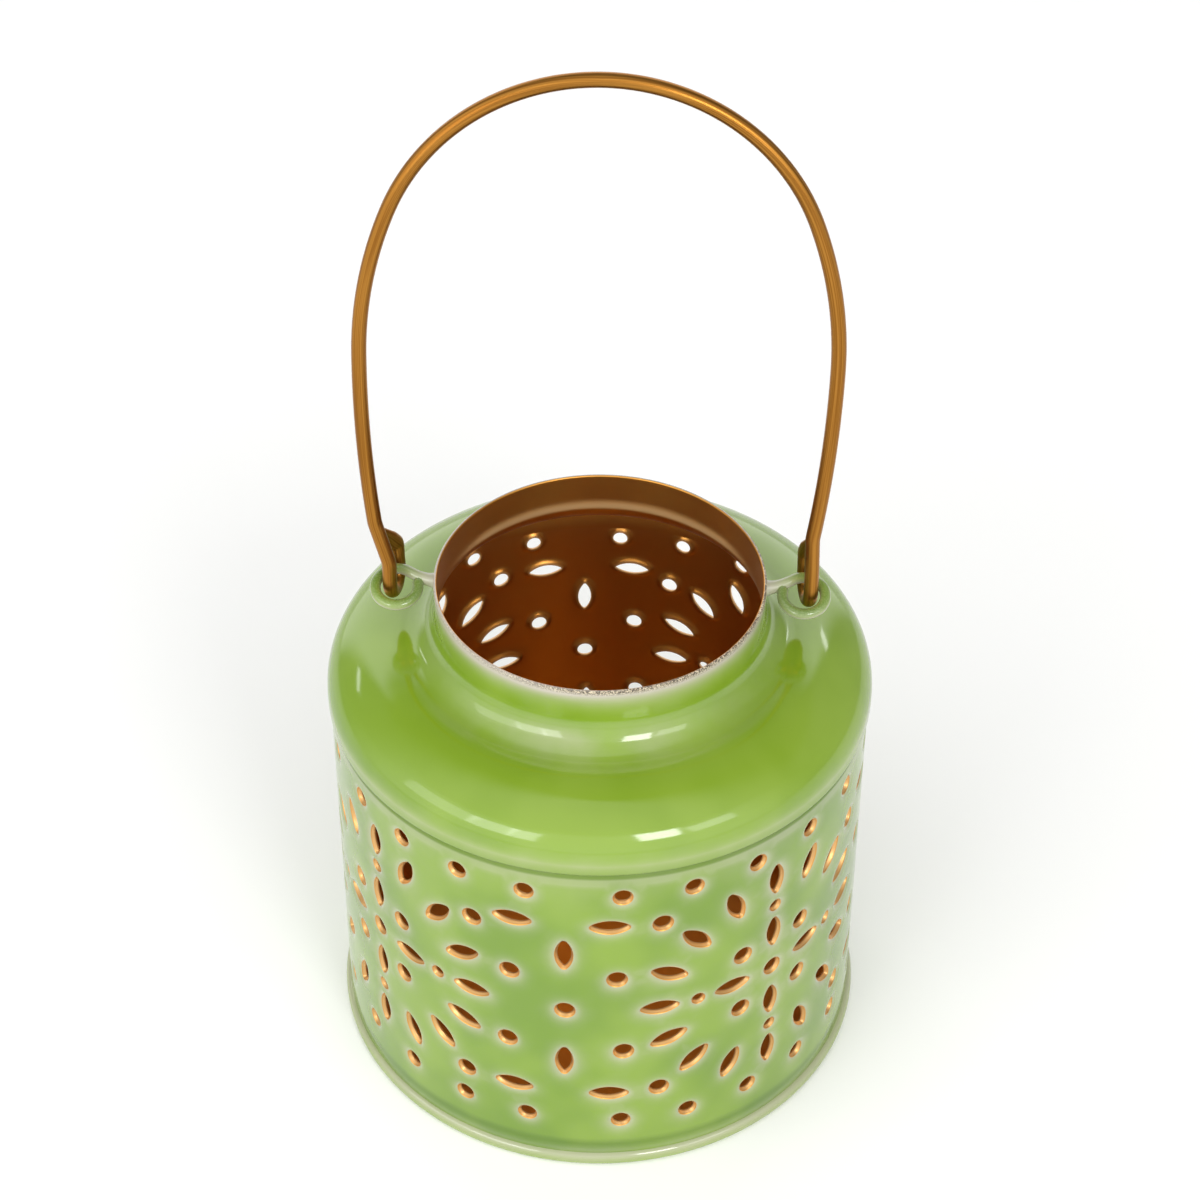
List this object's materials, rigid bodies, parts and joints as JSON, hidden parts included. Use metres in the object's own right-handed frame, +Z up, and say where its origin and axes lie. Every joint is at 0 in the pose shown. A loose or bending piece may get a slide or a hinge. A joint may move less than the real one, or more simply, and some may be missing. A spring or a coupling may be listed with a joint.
{
  "type": "lantern",
  "caption": "Round pierced metal lantern: punched cylindrical wall on a base pan, domed shoulder with an open neck, and a wire bail that swings in wire ears.",
  "frame": {"origin": "on the table plane under the middle of the round base", "axes": "+Z up along the lantern's axis; the two ears lie along X; the front, which the picture shows, faces -Y"},
  "size_m": [0.1334, 0.1334, 0.2605],
  "materials": {
    "green_enamel": "glossy translucent green enamel on steel sheet, thin and pale at lips, rims and hole edges; gold paint inside",
    "gold_painted_wire": "satin gold paint on drawn steel wire"
  },
  "bodies": {
    "lantern": {"pierced_wall": "green_enamel", "base_pan": "green_enamel", "domed_shoulder": "green_enamel", "ear_left": "green_enamel", "ear_right": "green_enamel"},
    "bail": {"bail_handle": "gold_painted_wire"}
  },
  "joints": [
    {"name": "bail_swing", "type": "hinge", "parent": "lantern", "child": "bail", "pos_m": [0, 0.00488, 0.13349], "axis": [1, 0, 0], "range_deg": [-115, 55]}
  ]
}
